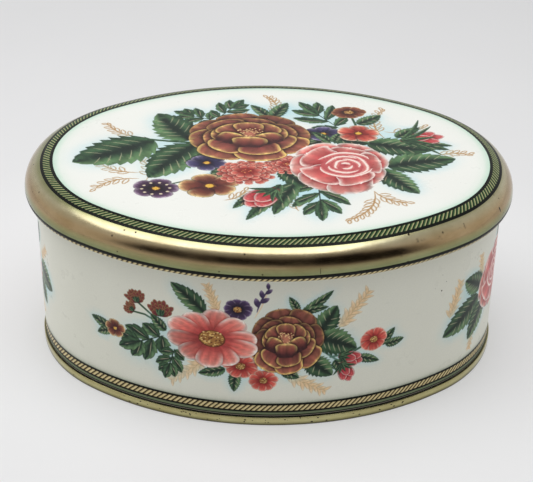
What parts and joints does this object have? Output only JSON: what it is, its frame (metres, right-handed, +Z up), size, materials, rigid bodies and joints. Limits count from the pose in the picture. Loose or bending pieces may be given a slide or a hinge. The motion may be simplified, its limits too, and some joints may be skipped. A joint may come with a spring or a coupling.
{
  "type": "oval lithographed tin",
  "caption": "Oval tinplate box with a lift-off lid, a rounded gold edge, rope-pattern borders and printed sprays of flowers on the lid and wall.",
  "frame": {"origin": "centre of the resting face, on the bottom of the seamed rim", "axes": "+Z up, the way the lid lifts off; X along the length of the oval; the wall's side seam is at the back, on +Y"},
  "size_m": [0.2294, 0.1734, 0.095],
  "materials": {
    "white_enamel": "glossy",
    "gold_lacquer": "satin, gold lacquer over tinplate",
    "printed_border": "glossy",
    "printed_flowers": "glossy",
    "plain_tinplate": "satin, clear lacquer"
  },
  "bodies": {
    "tin": {"body_wall": "white_enamel", "base": "gold_lacquer"},
    "lid": {"lid": "gold_lacquer"}
  },
  "joints": [
    {"name": "lid_lift", "type": "slide", "parent": "tin", "child": "lid", "axis": [0, 0, 1], "range_m": [0, 0.1]}
  ]
}
